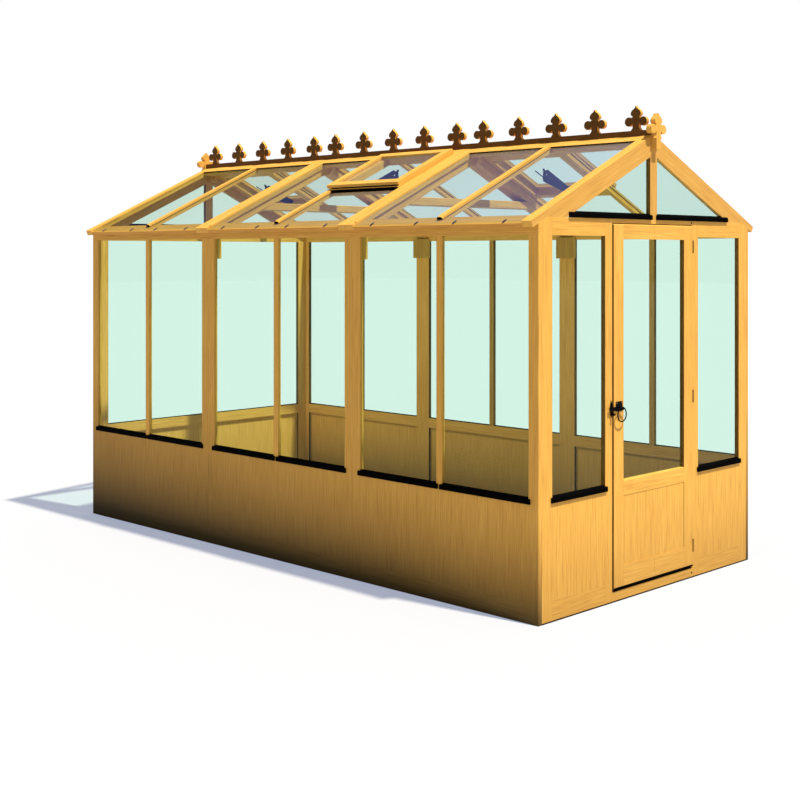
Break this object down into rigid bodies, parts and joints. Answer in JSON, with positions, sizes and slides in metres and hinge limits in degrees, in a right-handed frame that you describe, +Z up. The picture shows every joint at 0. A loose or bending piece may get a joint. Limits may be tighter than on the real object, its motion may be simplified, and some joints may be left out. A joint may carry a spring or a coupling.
{
  "type": "glass greenhouse",
  "caption": "Timber framed glass greenhouse with panelled lower walls, glazed gables and pitched roof, roof vents, ridge cresting and a hinged gable door with a ring latch.",
  "frame": {"origin": "on the ground at the middle of the footprint", "axes": "+Z up, the door gable faces -Y, the ridge runs along Y"},
  "size_m": [1.925, 3.721, 2.4157],
  "materials": {
    "timber": "oiled softwood",
    "panel_timber": "oiled softwood",
    "glazing": "clear",
    "black_sill": "matt black",
    "black_iron": "black painted",
    "hinge_steel": "zinc plated"
  },
  "bodies": {
    "house": {"back_glass": "glazing", "back_panels": "panel_timber", "back_posts": "timber", "back_rails": "timber", "end_finials": "timber", "front_glass": "glazing", "front_panels": "panel_timber", "front_posts": "timber", "front_rails": "timber", "gable_rafters": "timber", "gable_sills": "black_sill", "hinge_frame_leaves": "hinge_steel", "king_posts": "timber", "latch_keep": "black_iron", "left_roof_bars": "timber", "left_roof_glass": "glazing", "left_roof_rafters": "timber", "left_roof_rails": "timber", "left_wall_glass": "glazing", "left_wall_panels": "panel_timber", "left_wall_posts": "timber", "left_wall_rails": "timber", "ridge_blocks": "timber", "ridge_cresting": "timber", "right_roof_bars": "timber", "right_roof_glass": "glazing", "right_roof_rafters": "timber", "right_roof_rails": "timber", "right_wall_glass": "glazing", "right_wall_panels": "panel_timber", "right_wall_posts": "timber", "right_wall_rails": "timber", "roof_vent_curbs": "timber", "roof_vent_glass": "glazing", "roof_vent_sashes": "timber", "roof_vent_stays": "black_iron", "side_wall_bars": "timber", "side_wall_sills": "black_sill", "wall_joint_blocks": "timber"},
    "door": {"door_stiles": "timber", "door_rails": "timber", "door_panel": "panel_timber", "door_glass": "glazing", "hinge_door_leaves": "hinge_steel", "latch_plate": "black_iron"},
    "latch": {"latch_handle": "black_iron"}
  },
  "joints": [
    {"name": "door_swing", "type": "hinge", "parent": "house", "child": "door", "pos_m": [0.3475, -1.839, 0.94], "axis": [0, 0, 1], "range_deg": [0, 110]},
    {"name": "latch_turn", "type": "hinge", "parent": "door", "child": "latch", "pos_m": [-0.304, -1.836, 0.93], "axis": [0, 1, 0], "range_deg": [0, 25]}
  ]
}
